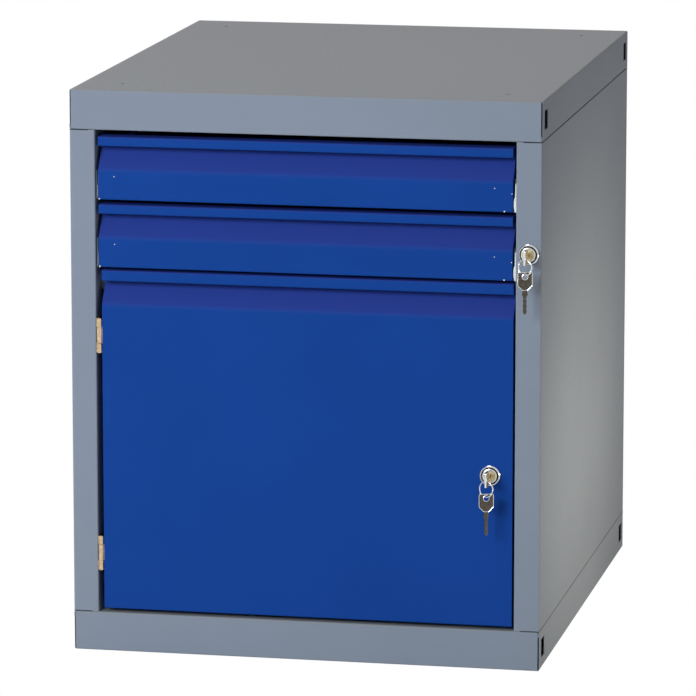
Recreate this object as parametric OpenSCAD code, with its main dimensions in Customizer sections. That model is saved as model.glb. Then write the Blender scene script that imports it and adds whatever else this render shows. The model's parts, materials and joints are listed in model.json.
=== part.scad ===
// Under-bench steel cabinet: two drawers on roller runners above a cupboard with one hinged door.
// The carcass is two folded pans joined by two folded side panels, with a cam lock in the door
// and a second one in the right post that locks both drawers through a lifting bar.
// Millimetres. Z is up from the floor, the front looks towards -Y, and the left is -X.

/* [Cabinet] */
// Overall width
cab_w = 500; // [440:5:700]
// Depth from the front face to the back
cab_d = 600; // [560:5:750]
// Overall height
cab_h = 600; // [540:5:800]
// Sheet thickness of the carcass, the drawer fronts and the door
sheet_t = 1; // [0.8:0.1:1.2]
// Outside radius of the folds
fold_r = 1.6; // [1.5:0.1:2]
// Thickness of the back sheet
back_t = 0.8; // [0.6:0.1:1]

/* [Pans] */
// Height of the skirt round the top and bottom pans
pan_h = 42; // [36:1:60]
// Width of the flange turned in along the lower edge of each skirt
pan_flange = 14; // [8:1:18]
// Side of the square cut-outs near the corners of the side skirts
slot_size = 20; // [12:1:22]
// Front cut-out to the front face
slot_front = 14; // [8:1:30]
// Rear cut-out to the back
slot_back = 12; // [8:1:30]
// Diameter of the fixing holes in the web of each pan
fix_hole_d = 5.5; // [4:0.5:8]
// Fixing holes to the sides
fix_inset_x = 45; // [30:1:80]
// Fixing holes to the front and to the back
fix_inset_y = 52; // [30:1:90]

/* [Posts] */
// Width of the posts beside the doorway
post_w = 27; // [25:0.5:35]
// Depth of the front posts
post_return = 40; // [38:1:50]
// Depth of the rear posts
rear_return = 50; // [45:1:70]

/* [Fronts] */
// Height of a drawer front
drawer_front_h = 66.5; // [62:0.5:90]
// Clearance above the upper drawer front
top_gap = 7; // [5:0.5:20]
// Clearance between the two drawer fronts
front_gap = 5.1; // [4.5:0.1:9]
// Clearance above the door
door_top_gap = 3.2; // [3:0.1:8]
// Clearance under the door
door_gap = 4.2; // [3:0.1:8]
// Clearance beside the drawer fronts
side_gap = 3.5; // [2.5:0.1:5]
// Clearance at the free edge of the door
door_side_gap = 2.2; // [1.5:0.1:5]
// Depth of the drawer fronts and of the door
front_depth = 22; // [21:0.5:26]
// Height of the lip along the top of a drawer front
lip_h = 10; // [8:0.5:14]
// Height of the lip along the top of the door
door_lip_h = 11.5; // [8:0.5:16]
// Height of the finger grip under the lip
grip_h = 25; // [18:0.5:28]
// Depth of the finger grip
grip_d = 19.5; // [14:0.5:19.5]
// Radius of the fold below the finger grip
grip_r = 8; // [2:0.5:9]
// Turned edge behind each front
front_flange = 8; // [6:0.5:9]

/* [Drawers] */
// Room behind a drawer box
box_back_gap = 48; // [40:1:50]
// How far a drawer pulls out
drawer_travel = 410; // [300:5:430]
// Sheet thickness of the boxes
box_t = 0.9; // [0.7:0.1:1.2]
// Height of a box's side above its floor
box_side = 50; // [44:1:50]
// Underside of a box above the lower edge of its front
box_rise = 6; // [5:0.5:8]
// Hem along the top of each side
box_hem = 6; // [4:0.5:10]

/* [Runners] */
// Room for one runner between a post and a box
runner_space = 12.5; // [12.5:0.1:15]
// Cabinet runner behind the end of the box
runner_tail = 14; // [12:1:20]
// Runner behind the front face
runner_set_back = 14; // [12.5:0.5:18]
// Height of a cabinet runner
runner_h = 34.5; // [32:0.5:36]
// Thickness of the runner steel
runner_t = 1.2; // [1:0.1:1.4]
// Lower edge of a runner below the lower edge of its drawer front
runner_drop = 2; // [1.5:0.1:2.4]
// Diameter of the nylon rollers
roller_d = 16; // [14:0.5:17]
// Width of a roller
roller_w = 5.8; // [5:0.1:5.8]
// Diameter of a roller's axle
axle_d = 5; // [4:0.1:6]

/* [Hinges] */
// Diameter of a hinge knuckle
knuckle_d = 5.4; // [5:0.1:6]
// Diameter of the hinge pin
pin_d = 2.4; // [2:0.1:2.6]
// Height of a hinge
hinge_h = 36.5; // [30:0.5:50]
// Height of the middle knuckle
knuckle_mid = 17; // [12:0.5:20]
// Thickness of a hinge leaf
leaf_t = 1.2; // [1:0.1:1.3]
// Depth of a hinge leaf behind the front face
leaf_d = 19; // [14:0.5:20]
// Centre of the lower hinge above the foot of the door
hinge_low = 60; // [40:0.5:90]
// Centre of the upper hinge below the top of the door
hinge_high = 69.5; // [50:0.5:90]

/* [Locks] */
// Diameter of a lock's collar
collar_d = 22; // [20:0.5:22.5]
// Diameter of a lock's barrel
barrel_d = 18; // [16:0.5:19]
// Depth of a lock behind the front face
lock_depth = 22; // [21:0.5:24]
// Diameter of the turning plug's face
plug_face_d = 15.6; // [14:0.1:16]
// Plug's face in front of the cabinet's front face
plug_proud = 3.8; // [3.5:0.1:4.5]
// Centre of the door lock from the free edge of the door
door_lock_in = 23.5; // [22:0.5:40]
// Centre of the door lock above the foot of the door
door_lock_up = 161; // [120:1:200]
// Centre of the drawer lock above the foot of the lower drawer front
drawer_lock_up = 28.5; // [28:0.5:34]
// Length of the door cam from the centre of the lock
cam_len = 32; // [31:0.5:40]

/* [Keys] */
// Width of a key's bow
bow_w = 15.5; // [13:0.5:18]
// Height of a key's bow
bow_h = 19; // [16:0.5:22]
// Length of the neck between bow and blade
neck_len = 5.2; // [4:0.1:6]
// Length of a key's blade
blade_len = 19.5; // [16:0.5:20]
// Thickness of a key
key_t = 1.9; // [1.6:0.1:2]
// Diameter of the hole in the bow
bow_hole_d = 5.8; // [5.6:0.1:6.2]
// Outside diameter of a key ring
ring_d = 17.6; // [16:0.1:20]
// Diameter of the ring wire
wire_d = 1.2; // [0.9:0.1:1.2]

/* [Cupboard] */
// Thickness of the shelf's and the divider's folded edge
shelf_edge = 20; // [15:1:25]
// Upper face of the shelf above the cupboard floor
shelf_up = 203; // [185:1:260]
// Pitch of the shelf slots in the posts
slot_pitch = 50; // [40:5:60]

/* [Hidden] */
$fn = 48;

paint = [0.53, 0.58, 0.64];
blue = [0.07, 0.22, 0.56];
zinc = [0.75, 0.76, 0.77];
nylon = [0.93, 0.93, 0.9];
brass = [0.8, 0.72, 0.55];
nickel = [0.82, 0.82, 0.8];

// Places: the origin is under the middle of the whole outline, keys included
key_reach = plug_proud + neck_len + bow_h;
front_y = (key_reach - cab_d) / 2;
back_y = front_y + cab_d;
mid_y = front_y + cab_d / 2;
door_way = cab_w / 2 - post_w;
panel_h = cab_h - 2 * pan_h;
drawer_z = [cab_h - pan_h - top_gap - drawer_front_h,
    cab_h - pan_h - top_gap - 2 * drawer_front_h - front_gap];
drawer_w = 2 * (door_way - side_gap);
box_len = cab_d - front_depth - box_back_gap;
runner_len = box_len + front_depth - runner_set_back + runner_tail;

// Fits
roll_gap = 0.3;
turn_gap = 0.05;
hinge_gap = 0.45;
loose_gap = 0.3;
ring_gap = 0.6;
slot_clear = 1.5;

// Runners: heights are from the lower edge of the drawer front. A lug on the cabinet runner
// stops the drawer's rear roller at the end of the travel.
box_x = door_way - runner_space;
runner_stand_off = 2.5;
web_x = door_way - runner_stand_off - runner_t;
rear_roller_z = runner_t - runner_drop + roll_gap + roller_d / 2;
front_roller_z = rear_roller_z + 0.7;
slide_z = front_roller_z + roller_d / 2 + roll_gap;
front_roller_y = front_y + runner_set_back + roller_d / 2 + 2;
rear_axle_in = 12;
rear_roller_y = front_y + front_depth + box_len - rear_axle_in;
lug_t = 3;
lug_h = 8;
lug_y = rear_roller_y - drawer_travel - roller_d / 2 - loose_gap - lug_t;
front_roller_x = web_x - roll_gap - roller_w;
rear_roller_x = box_x + runner_t + roll_gap;
axle_head_t = 0.7;
axle_head_d = axle_d + 2.2;

// Door and hinges
hinge_x = -door_way + hinge_gap + knuckle_d / 2;
door_x0 = hinge_x + hinge_gap + knuckle_d / 2;
door_x1 = door_way - door_side_gap;
door_w = door_x1 - door_x0;
door_z0 = pan_h + door_gap;
door_h = drawer_z[1] - door_top_gap - door_z0;
hinge_z = [door_z0 + hinge_low - hinge_h / 2, door_z0 + door_h - hinge_high - hinge_h / 2];
knuckle_gap = 0.3;
stop_y = front_depth + 2;

// Locks: heights inside a lock are measured outwards from the front face
door_lock_at = [door_x1 - door_lock_in, door_z0 + door_lock_up];
drawer_lock_at = [cab_w / 2 - post_w / 2, drawer_z[1] + drawer_lock_up];
bore_d = 13.1;
tail_d = 6;
plug_head_t = 2.5;
cam_t = 2;
cam_back = lock_depth + 0.5;
cam_hub_d = 16;
cam_w = 12;
screw_t = 1.8;
screw_head_d = 8.4;
nut_d = barrel_d + 6;
nut_t = 4;
blade_w = 4;
keyway_w = key_t + 0.5;
keyway_h = blade_w + 0.8;

// Drawer locking: the cam's pin swings 45 degrees each side of level and lifts the bar
pin_swing = 45;
crank = 6;
crank_pin_d = 3;
bar_lift = 2 * crank * sin(pin_swing);
bar_y = 28;
bar_t = 2;
bar_w = 18;
bar_x = cab_w / 2 - post_w / 2 - bar_w / 2;
hook_up = 36;
hook_h = 8.5;
catch_up = hook_up + hook_h + 1.5;
catch_h = 8;
catch_y = bar_y + bar_t + 3;
catch_reach = 6.5;
catch_foot = 16;

// A folded sheet seen along its folds: straight legs joined by true round bends.
// The path is the middle of the sheet, with sharp corners. r is one radius, or one for each corner.
function heading(p, i) = (p[i + 1] - p[i]) / norm(p[i + 1] - p[i]);
function turn(p, i) = let (a = heading(p, i - 1), b = heading(p, i))
    atan2(a[0] * b[1] - a[1] * b[0], a * b);
function bend_r(r, i) = is_list(r) ? r[i] : r;
function trim(p, i, r) = i == 0 || i == len(p) - 1 ? 0 : bend_r(r, i) * tan(abs(turn(p, i)) / 2);
function bend_ends(p, i, r) = [p[i] - heading(p, i - 1) * trim(p, i, r), p[i] + heading(p, i) * trim(p, i, r)];
function bend_mid(p, i, r) = let (inwards = heading(p, i) - heading(p, i - 1))
    p[i] + inwards / norm(inwards) * bend_r(r, i) * (1 / cos(turn(p, i) / 2) - 1);
function cut_corners(p, r) = [p[0], for (i = [1 : len(p) - 2]) let (e = bend_ends(p, i, r))
    each [e[0], bend_mid(p, i, r), e[1]], p[len(p) - 1]];

module leg(a, b, t) {
    d = b - a;
    translate(a) rotate(atan2(d[1], d[0])) translate([0, -t / 2]) square([norm(d), t]);
}

module bend(at, start, sweep, r, t) {
    reach = 3 * (r + t);
    translate(at) intersection() {
        difference() {
            circle(r + t / 2);
            circle(r - t / 2);
        }
        polygon([[0, 0], for (k = [0 : 3]) reach * [cos(start + sweep * k / 3), sin(start + sweep * k / 3)]]);
    }
}

module folded(p, t, r) {
    for (i = [0 : len(p) - 2])
        leg(p[i] + heading(p, i) * trim(p, i, r), p[i + 1] - heading(p, i) * trim(p, i + 1, r), t);
    for (i = [1 : len(p) - 2]) {
        a = heading(p, i - 1);
        side = sign(turn(p, i));
        normal = side * [-a[1], a[0]];
        centre = bend_ends(p, i, r)[0] + normal * bend_r(r, i);
        bend(centre, atan2(-normal[1], -normal[0]), turn(p, i), bend_r(r, i), t);
    }
}

// Extrusions of a section drawn in (Y, Z) along X, and in (X, Z) along Y, about their middle
module along_x(len) { rotate([90, 0, 90]) linear_extrude(len, center = true) children(); }
module along_y(len) { rotate([90, 0, 0]) linear_extrude(len, center = true) children(); }
module mirrored_x() {
    children();
    mirror([1, 0, 0]) children();
}
// A lock's own axes: X right, Y up and Z out of the front face
module at_lock(at) { translate([at[0], front_y, at[1]]) rotate([90, 0, 0]) children(); }

mid_r = fold_r - sheet_t / 2;

// ---- Carcass ----

// Section of a pan across one of its spans: web on top, skirts down, flanges turned in
module pan_section(span) {
    e = span / 2 - sheet_t / 2;
    z0 = sheet_t / 2;
    z1 = pan_h - sheet_t / 2;
    f = e + sheet_t / 2 - pan_flange;
    folded([[-f, z0], [-e, z0], [-e, z1], [e, z1], [e, z0], [f, z0]], sheet_t, mid_r);
}

module pan() {
    difference() {
        union() {
            translate([0, mid_y, 0]) along_y(cab_d - 2 * fold_r) pan_section(cab_w);
            translate([0, mid_y, 0]) along_x(cab_w - 2 * fold_r) pan_section(cab_d);
        }
        for (x = [-1, 1], y = [-1, 1])
            translate([x * (cab_w / 2 - fix_inset_x), mid_y + y * (cab_d / 2 - fix_inset_y), pan_h / 2])
                cylinder(d = fix_hole_d, h = pan_h);
        for (y = [front_y + slot_front, back_y - slot_back - slot_size])
            translate([-cab_w, y, (pan_h - slot_size) / 2])
                cube([2 * cab_w, slot_size, slot_size]);
    }
}

module top_pan() { color(paint) translate([0, 0, cab_h - pan_h]) pan(); }
module bottom_pan() { color(paint) pan(); }

// Section of the right side panel: front post, side and rear post
module side_section() {
    inner = door_way + sheet_t / 2;
    outer = cab_w / 2 - sheet_t / 2;
    rear = back_y - back_t - sheet_t / 2;
    folded([[inner, front_y + post_return], [inner, front_y + sheet_t / 2], [outer, front_y + sheet_t / 2],
        [outer, rear], [inner, rear], [inner, back_y - back_t - rear_return]], sheet_t, mid_r);
}

shelf_slot = [3, 12];
shelf_slot_y = [front_y + post_return - 7, back_y - back_t - rear_return + 12];
shelf_z = pan_h + shelf_up;
clip_z = shelf_z - shelf_edge;
shelf_slot_z = [for (k = [-1 : 2]) clip_z + k * slot_pitch];

module side_panel() {
    difference() {
        translate([0, 0, pan_h]) linear_extrude(panel_h) side_section();
        for (y = shelf_slot_y, z = shelf_slot_z)
            translate([door_way - 1, y - shelf_slot[0] / 2, z - shelf_slot[1]])
                cube([sheet_t + 2, shelf_slot[0], shelf_slot[1]]);
        for (z0 = drawer_z, y = runner_screw_y)
            translate([door_way - 1, y, z0 + runner_screw_z]) rotate([0, 90, 0])
                cylinder(d = screw_d, h = sheet_t + 2);
    }
}

module left_side_panel() { color(paint) mirror([1, 0, 0]) side_panel(); }

cam_slot_up = cam_w / 2 + 2;
cam_slot_down = sqrt(pow(cam_len, 2) + pow(cam_w / 2, 2) - pow(door_way - door_lock_at[0], 2)) + 1.5;

module right_side_panel() {
    color(paint) difference() {
        side_panel();
        // Hole for the drawer lock
        at_lock(drawer_lock_at) translate([0, 0, -post_return / 2]) cylinder(d = barrel_d + 0.2, h = post_return);
        // Slot that the door cam swings into
        translate([door_way - 1, front_y + cam_back - slot_clear, door_lock_at[1] - cam_slot_down])
            cube([sheet_t + 2, cam_t + 2 * slot_clear, cam_slot_down + cam_slot_up]);
        // Slots for the hooks of the locking bar
        for (z0 = drawer_z)
            translate([door_way - 1, front_y + bar_y - slot_clear, z0 + hook_up - 1])
                cube([sheet_t + 2, bar_t + 2 * slot_clear, hook_h + bar_lift + 2]);
    }
}

module back_panel() {
    color(paint) translate([0, back_y - back_t / 2, cab_h / 2])
        cube([cab_w - 2 * fold_r - 1, back_t, panel_h - 1], center = true);
}

// Tray with its edge folded down on all four sides
module folded_tray(w, y0, y1, z) {
    difference() {
        translate([-w / 2, y0, z - shelf_edge]) cube([w, y1 - y0, shelf_edge]);
        translate([-w / 2 + sheet_t, y0 + sheet_t, z - shelf_edge - 1])
            cube([w - 2 * sheet_t, y1 - y0 - 2 * sheet_t, shelf_edge + 1 - sheet_t]);
    }
}

divider_z = door_z0 + door_h - 4;
module divider_panel() {
    color(paint) folded_tray(2 * door_way, front_y + stop_y, back_y - back_t - sheet_t, divider_z);
}

shelf_back_lap = 30;
shelf_y = [front_y + post_return - 6, back_y - back_t - rear_return + shelf_back_lap];
module shelf() { color(paint) folded_tray(2 * door_way - 4, shelf_y[0], shelf_y[1], shelf_z); }

clip_ledge = 12;
clip_w = 10;
clip_h = 16;
module shelf_clip(y) {
    translate([door_way - 1.5, y - clip_w / 2, clip_z - clip_h]) cube([1.5, clip_w, clip_h]);
    translate([door_way - clip_ledge, y - clip_w / 2, clip_z - 1.5]) cube([clip_ledge, clip_w, 1.5]);
    translate([door_way - 1, y - 1, clip_z - shelf_slot[1] + 1]) cube([4, 2, shelf_slot[1] - 2]);
}
module shelf_clips() { color(zinc) mirrored_x() for (y = shelf_slot_y) shelf_clip(y); }

// Rubber buffers on the divider's front edge, where the door comes to rest
module door_buffers() {
    color("black") for (x = [door_x0 + 7, door_x1 - 7])
        translate([x, front_y + stop_y, divider_z - shelf_edge / 2]) rotate([90, 0, 0])
            cylinder(d = 8, h = stop_y - front_depth - 0.3);
}

// ---- Runners ----

screw_d = 4;
runner_screw_y = [front_y + post_return - 5, back_y - back_t - rear_return + 6];
runner_screw_z = runner_h - runner_drop - 7.5;

// Cabinet runner: a channel open towards the drawer, held off the posts by pressed pads,
// with the lug that stops the rear roller
module cabinet_runner(z0) {
    translate([0, front_y + runner_set_back, z0 - runner_drop]) difference() {
        translate([front_roller_x, 0, 0])
            cube([web_x + runner_t - front_roller_x, runner_len, runner_h]);
        translate([front_roller_x - 1, -1, runner_t])
            cube([web_x - front_roller_x + 1, runner_len + 2, runner_h - 2 * runner_t]);
    }
    for (y = runner_screw_y)
        translate([web_x + runner_t - 0.2, y, z0 + runner_screw_z]) rotate([0, 90, 0])
            cylinder(d = 10, h = runner_stand_off + 0.2);
    translate([front_roller_x, lug_y, z0 - runner_drop + runner_t - 0.2])
        cube([web_x - front_roller_x + 0.2, lug_t, lug_h]);
}

module drilled_runner(z0) {
    difference() {
        cabinet_runner(z0);
        for (y = runner_screw_y)
            translate([web_x - 1, y, z0 + runner_screw_z]) rotate([0, 90, 0])
                cylinder(d = screw_d, h = 10);
        translate([web_x - 1, front_roller_y, z0 + front_roller_z]) rotate([0, 90, 0])
            cylinder(d = axle_d, h = runner_t + 2);
    }
}

module drawer_1_cabinet_runners() { color(nylon) mirrored_x() drilled_runner(drawer_z[0]); }
module drawer_2_cabinet_runners() { color(nylon) mirrored_x() drilled_runner(drawer_z[1]); }

module runner_screws() {
    color(zinc) mirrored_x() for (z0 = drawer_z, y = runner_screw_y)
        translate([web_x, y, z0 + runner_screw_z]) rotate([0, 90, 0]) {
            translate([0, 0, -1.6]) cylinder(d = 7, h = 1.6);
            cylinder(d = screw_d, h = door_way - web_x + sheet_t + 3);
        }
}

module roller(x, y, z) {
    translate([x, y, z]) rotate([0, 90, 0]) difference() {
        cylinder(d = roller_d, h = roller_w);
        translate([0, 0, -1]) cylinder(d = axle_d + 2 * turn_gap, h = roller_w + 2);
        // Dished faces
        for (z = [-1, roller_w - 1])
            translate([0, 0, z]) difference() {
                cylinder(d = roller_d - 3, h = 2);
                translate([0, 0, -1]) cylinder(d = axle_d + 4, h = 4);
            }
    }
}

module front_rollers(z0) { color("white") mirrored_x() roller(front_roller_x, front_roller_y, z0 + front_roller_z); }
module rear_rollers(z0) { color("white") mirrored_x() roller(rear_roller_x, rear_roller_y, z0 + rear_roller_z); }
module drawer_1_front_rollers() { front_rollers(drawer_z[0]); }
module drawer_2_front_rollers() { front_rollers(drawer_z[1]); }
module drawer_1_rear_rollers() { rear_rollers(drawer_z[0]); }
module drawer_2_rear_rollers() { rear_rollers(drawer_z[1]); }

// Axles riveted into the webs of the cabinet runners
module front_roller_axles() {
    color(zinc) mirrored_x() for (z0 = drawer_z)
        translate([front_roller_x - roll_gap - axle_head_t, front_roller_y, z0 + front_roller_z]) rotate([0, 90, 0]) {
            cylinder(d = axle_head_d, h = axle_head_t);
            cylinder(d = axle_d, h = web_x + runner_t - front_roller_x + roll_gap + axle_head_t);
        }
}

module rear_axles(z0) {
    color(zinc) mirrored_x() translate([box_x, rear_roller_y, z0 + rear_roller_z]) rotate([0, 90, 0]) {
        cylinder(d = axle_d, h = rear_roller_x + roller_w + roll_gap + axle_head_t - box_x);
        translate([0, 0, rear_roller_x + roller_w + roll_gap - box_x]) cylinder(d = axle_head_d, h = axle_head_t);
    }
}
module drawer_1_rear_axles() { rear_axles(drawer_z[0]); }
module drawer_2_rear_axles() { rear_axles(drawer_z[1]); }

// ---- Fronts ----

// Section of a front in (Y, Z): turned edges, flat panel, sloping finger grip and lip
function front_path(h, lip, flange) = let (t = sheet_t / 2, d = front_depth - sheet_t / 2) [
    [d, flange], [d, t], [t, t], [t, h - lip - grip_h], [grip_d, h - lip + t],
    [t, h - lip + t], [t, h - t], [d, h - t], [d, h - flange]];
front_folds = [for (i = [0 : 8]) i == 3 ? grip_r : mid_r];

// The folded sheet with a cheek at each end
module formed_front(w, h, lip, flange) {
    path = front_path(h, lip, flange);
    along_x(w) folded(path, sheet_t, front_folds);
    for (x = [-1, 1])
        translate([x * (w - sheet_t) / 2, 0, 0]) along_x(sheet_t) polygon(cut_corners(path, front_folds));
}

module drawer_front(z0) {
    notch_x = box_x + 0.5;
    notch_y = runner_set_back - 2;
    color(blue) translate([0, front_y, z0]) difference() {
        formed_front(drawer_w, drawer_front_h, lip_h, front_flange);
        // Ends cut back to clear the runners
        mirrored_x() translate([notch_x, notch_y, -1])
            cube([drawer_w, front_depth, runner_h - runner_drop + 2]);
    }
}
module drawer_1_front() { drawer_front(drawer_z[0]); }
module drawer_2_front() { drawer_front(drawer_z[1]); }

// Box: floor, hemmed sides, back, and a front wall that reaches the turned edge of the front
module drawer_box(z0) {
    y0 = front_y + front_depth;
    z_floor = z0 + box_rise;
    front_wall = drawer_front_h - box_rise - 1;
    color(blue) {
        translate([-box_x, y0, z_floor]) difference() {
            cube([2 * box_x, box_len, box_side]);
            translate([box_t, box_t, box_t])
                cube([2 * (box_x - box_t), box_len - 2 * box_t, box_side]);
        }
        translate([-box_x, y0, z_floor]) cube([2 * box_x, box_t, front_wall]);
        mirrored_x() translate([box_x - box_hem, y0, z_floor + box_side - box_t])
            cube([box_hem, box_len, box_t]);
    }
}
module drawer_1_box() { drawer_box(drawer_z[0]); }
module drawer_2_box() { drawer_box(drawer_z[1]); }

// Drawer slide: an angle on each side of the box, with its ledge resting on the front roller
module drawer_slides(z0) {
    leg_down = slide_z - 2;
    color(nylon) mirrored_x() difference() {
        translate([box_x, front_y + front_depth + 1, z0 + slide_z - leg_down]) union() {
            cube([runner_t, box_len - 1, leg_down + runner_t]);
            translate([0, 0, leg_down]) cube([web_x - 0.5 - box_x, box_len - 1, runner_t]);
        }
        translate([box_x - 1, rear_roller_y, z0 + rear_roller_z]) rotate([0, 90, 0])
            cylinder(d = axle_d, h = runner_t + 2);
    }
}
module drawer_1_slides() { drawer_slides(drawer_z[0]); }
module drawer_2_slides() { drawer_slides(drawer_z[1]); }

// Angle on the right of each box that the locking bar's hook stops
module drawer_catch(z0) {
    color(zinc) translate([box_x, front_y + catch_y, z0 + catch_up]) {
        cube([catch_reach, 2, catch_h]);
        cube([1.5, catch_foot, catch_h]);
    }
}
module drawer_1_catch() { drawer_catch(drawer_z[0]); }
module drawer_2_catch() { drawer_catch(drawer_z[1]); }

module door_skin() {
    mid_x = (door_x0 + door_x1) / 2;
    flange = 12;
    color(blue) difference() {
        translate([mid_x, front_y, door_z0]) {
            formed_front(door_w, door_h, door_lip_h, flange);
            for (x = [-door_w / 2, door_w / 2 - flange])
                translate([x, front_depth - sheet_t, sheet_t / 2])
                    cube([flange, sheet_t, door_h - sheet_t]);
        }
        at_lock(door_lock_at) translate([0, 0, -front_depth / 2]) cylinder(d = barrel_d + 0.2, h = front_depth);
    }
}

// Hat channel welded behind the flat of the door
module door_stiffener() {
    t = 0.8;
    y0 = sheet_t + t / 2;
    y1 = front_depth - 4;
    foot = 16;
    half = 26;
    up = 16;
    down = 8;
    color(blue) translate([(door_x0 + door_x1) / 2, front_y, door_z0 + up])
        linear_extrude(door_h - door_lip_h - grip_h - up - down)
            folded([[-half - foot, y0], [-half, y0], [-half, y1], [half, y1], [half, y0], [half + foot, y0]], t, mid_r);
}

// ---- Hinges ----

knuckle_low = (hinge_h - knuckle_mid) / 2 + 0.5;

module knuckle(z, h) {
    translate([hinge_x, front_y, z]) difference() {
        cylinder(d = knuckle_d, h = h);
        translate([0, 0, -1]) cylinder(d = pin_d + 2 * turn_gap, h = h + 2);
    }
}

// A leaf lies from x to x + leaf_t and reaches forward to its own knuckles, given as [z, height]
module leaf(x, z, knuckles) {
    clear = knuckle_d / 2 + 0.7;
    translate([x, front_y + clear, z]) cube([leaf_t, leaf_d - clear, hinge_h]);
    for (k = knuckles) {
        translate([x, front_y, z + k[0]]) cube([leaf_t, clear + 1, k[1]]);
        knuckle(z + k[0], k[1]);
    }
}

module hinge_post_leaves() {
    top = knuckle_low + knuckle_mid;
    color(brass) for (z = hinge_z)
        leaf(-door_way, z, [[0, knuckle_low - knuckle_gap], [top + knuckle_gap, hinge_h - top - knuckle_gap]]);
}
module hinge_door_leaves() {
    color(brass) for (z = hinge_z) leaf(door_x0 - leaf_t, z, [[knuckle_low, knuckle_mid]]);
}
// Pins with a domed head below the lowest knuckle
module hinge_pins() {
    color(brass) for (z = hinge_z) translate([hinge_x, front_y, z]) {
        cylinder(d = pin_d, h = hinge_h + 0.3);
        translate([0, 0, -0.9]) cylinder(d1 = pin_d, d2 = pin_d + 1.6, h = 0.9);
    }
}

// ---- Locks ----

// Collar and barrel, turned in one piece, with a recess round the plug's face
module lock_body() {
    recess = plug_face_d / 2 + 0.9;
    collar = collar_d / 2;
    lip = plug_proud - 0.3;
    step = plug_proud - plug_head_t - 0.2;
    color(nickel) rotate_extrude() polygon([
        [bore_d / 2, -lock_depth], [barrel_d / 2, -lock_depth], [barrel_d / 2, 0], [collar, 0],
        [collar, 1], [collar - 0.2, lip - 1.1], [collar - 0.8, lip - 0.4], [collar - 1.4, lip],
        [recess + 0.3, lip], [recess, lip - 0.3], [recess, step], [bore_d / 2, step]]);
}
module lock_nut() {
    color(zinc) translate([0, 0, -sheet_t - nut_t]) difference() {
        rotate(30) cylinder(d = nut_d, h = nut_t, $fn = 6);
        translate([0, 0, -1]) cylinder(d = barrel_d + 0.04, h = nut_t + 2);
    }
}
module lock_plug() {
    face = plug_face_d / 2;
    shank = bore_d / 2 - turn_gap;
    under = plug_proud - plug_head_t;
    color(brass) difference() {
        rotate_extrude() polygon([
            [0, -cam_back - cam_t], [tail_d / 2, -cam_back - cam_t], [tail_d / 2, -lock_depth - 0.2],
            [shank, -lock_depth - 0.2], [shank, under], [face, under], [face, plug_proud - 0.7],
            [face - 0.7, plug_proud], [0, plug_proud]]);
        translate([-keyway_w / 2, -keyway_h / 2, plug_proud - blade_len - 0.5])
            cube([keyway_w, keyway_h, blade_len + 1]);
    }
}
module cam_blank(reach) {
    difference() {
        union() {
            cylinder(d = cam_hub_d, h = cam_t);
            if (reach > 0) translate([-cam_w / 2, -reach, 0]) cube([cam_w, reach, cam_t]);
        }
        translate([0, 0, -1]) cylinder(d = tail_d, h = cam_t + 2);
    }
}
module cam_screw() { color(zinc) translate([0, 0, -cam_back - cam_t - screw_t]) cylinder(d = screw_head_d, h = screw_t); }

module door_lock_body() { at_lock(door_lock_at) lock_body(); }
module door_lock_nut() { at_lock(door_lock_at) lock_nut(); }
module door_lock_plug() { at_lock(door_lock_at) lock_plug(); }
module door_cam_screw() { at_lock(door_lock_at) cam_screw(); }
module door_lock_cam() { color(zinc) at_lock(door_lock_at) translate([0, 0, -cam_back - cam_t]) cam_blank(cam_len); }

module drawer_lock_body() { at_lock(drawer_lock_at) lock_body(); }
module drawer_lock_nut() { at_lock(drawer_lock_at) lock_nut(); }
module drawer_lock_plug() { at_lock(drawer_lock_at) lock_plug(); }
module drawer_cam_screw() { at_lock(drawer_lock_at) cam_screw(); }
// Disc with a crank pin that lifts the locking bar
module drawer_lock_cam() {
    color(zinc) at_lock(drawer_lock_at) translate([0, 0, -cam_back - cam_t]) {
        cam_blank(0);
        rotate(-pin_swing) translate([crank, 0, cam_t - (bar_y + bar_t + 0.5 - cam_back)])
            cylinder(d = crank_pin_d, h = bar_y + bar_t + 0.5 - cam_back - 0.5);
    }
}

// Strip inside the right post with a hook for each drawer and a slot for the crank pin
module lock_bar() {
    z_pin = drawer_lock_at[1] - crank * sin(pin_swing);
    z0 = z_pin - 8;
    slot_h = crank_pin_d + 1;
    slot_x0 = drawer_lock_at[0] + crank * cos(pin_swing) - crank_pin_d / 2 - 0.4;
    slot_w = crank * (1 - cos(pin_swing)) + crank_pin_d + 0.8;
    color(zinc) translate([0, front_y + bar_y, 0]) difference() {
        union() {
            translate([bar_x, 0, z0]) cube([bar_w, bar_t, drawer_z[0] + hook_up + hook_h - z0]);
            for (z = drawer_z) translate([box_x + 3, 0, z + hook_up]) cube([bar_x - box_x, bar_t, hook_h]);
        }
        translate([slot_x0, -1, z_pin - slot_h / 2]) cube([slot_w, bar_t + 2, slot_h]);
    }
}

// ---- Keys ----

hole_in = 4.6;
ring_r = (ring_d - wire_d) / 2;
ring_drop = bow_hole_d / 2 - wire_d / 2 - ring_gap;
ring_twist = -25;
key_twist = 18;
hang = 1.1;

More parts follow.
